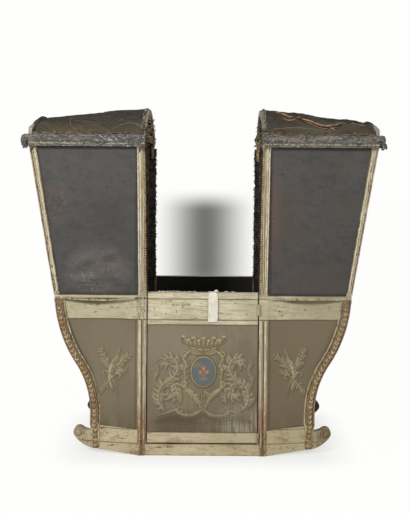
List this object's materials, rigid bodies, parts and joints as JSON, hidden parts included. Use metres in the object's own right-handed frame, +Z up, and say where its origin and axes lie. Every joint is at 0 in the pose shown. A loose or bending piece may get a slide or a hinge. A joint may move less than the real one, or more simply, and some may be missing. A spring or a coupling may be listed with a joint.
{
  "type": "sedan chair body with two facing hoods",
  "caption": "Two-seat sedan chair body with facing leather hoods, S-curved corner posts, scroll-ended sills and side doors; roof middle and carrying poles missing.",
  "frame": {"origin": "middle of the ground under the sills", "axes": "+X along the carrying direction, +Y across towards the far door, +Z up"},
  "size_m": [1.714, 0.81, 1.655],
  "materials": {
    "cream_wood": "worn cream paint",
    "carved_wood": "worn cream paint and gilding on carving",
    "painted_panel": "grey-brown paint, satin",
    "inner_wood": "bare, darkened",
    "bare_wood": "bare",
    "black_leather": "aged, satin",
    "roof_leather": "aged, creased",
    "painted_iron": "painted with the case",
    "cotton": "woven tape"
  },
  "bodies": {
    "case": {"corner_post_left_far": "carved_wood", "corner_post_left_near": "carved_wood", "corner_post_right_far": "carved_wood", "corner_post_right_near": "carved_wood", "cornice_left": "roof_leather", "cornice_right": "roof_leather", "door_post_left_far": "cream_wood", "door_post_left_near": "cream_wood", "door_post_right_far": "cream_wood", "door_post_right_near": "cream_wood", "end_hoop_left": "bare_wood", "end_hoop_right": "bare_wood", "end_panel_left": "painted_panel", "end_panel_right": "painted_panel", "end_sill_left": "inner_wood", "end_sill_right": "inner_wood", "end_waist_rail_left": "cream_wood", "end_waist_rail_right": "cream_wood", "floor_board": "inner_wood", "hood_end_panel_left": "black_leather", "hood_end_panel_right": "black_leather", "hood_posts_left": "cream_wood", "hood_posts_right": "cream_wood", "hood_rail_left": "cream_wood", "hood_rail_right": "cream_wood", "hood_side_panel_left_far": "black_leather", "hood_side_panel_left_near": "black_leather", "hood_side_panel_right_far": "black_leather", "hood_side_panel_right_near": "black_leather", "post_hinges_far": "painted_iron", "post_hinges_near": "painted_iron", "roof_left": "roof_leather", "roof_rib_left": "bare_wood", "roof_rib_right": "bare_wood", "roof_right": "roof_leather", "seat_left": "inner_wood", "seat_right": "inner_wood", "side_panel_left_far": "painted_panel", "side_panel_left_near": "painted_panel", "side_panel_right_far": "painted_panel", "side_panel_right_near": "painted_panel", "sill_far": "cream_wood", "sill_near": "cream_wood", "waist_rail_left_far": "cream_wood", "waist_rail_left_near": "cream_wood", "waist_rail_right_far": "cream_wood", "waist_rail_right_near": "cream_wood"},
    "near_door": {"door_frame_near": "cream_wood", "door_panel_near": "painted_panel", "door_mouldings_near": "cream_wood", "door_hinges_near": "painted_iron", "pull_strap": "cotton"},
    "far_door": {"door_frame_far": "cream_wood", "door_panel_far": "painted_panel", "door_mouldings_far": "cream_wood", "door_hinges_far": "painted_iron"}
  },
  "joints": [
    {"name": "near_door_hinge", "type": "hinge", "parent": "case", "child": "near_door", "pos_m": [0.2645, -0.38, 0.4], "axis": [0, 0, 1], "range_deg": [0, 100]},
    {"name": "far_door_hinge", "type": "hinge", "parent": "case", "child": "far_door", "pos_m": [0.2645, 0.38, 0.4], "axis": [0, 0, -1], "range_deg": [0, 100]}
  ]
}
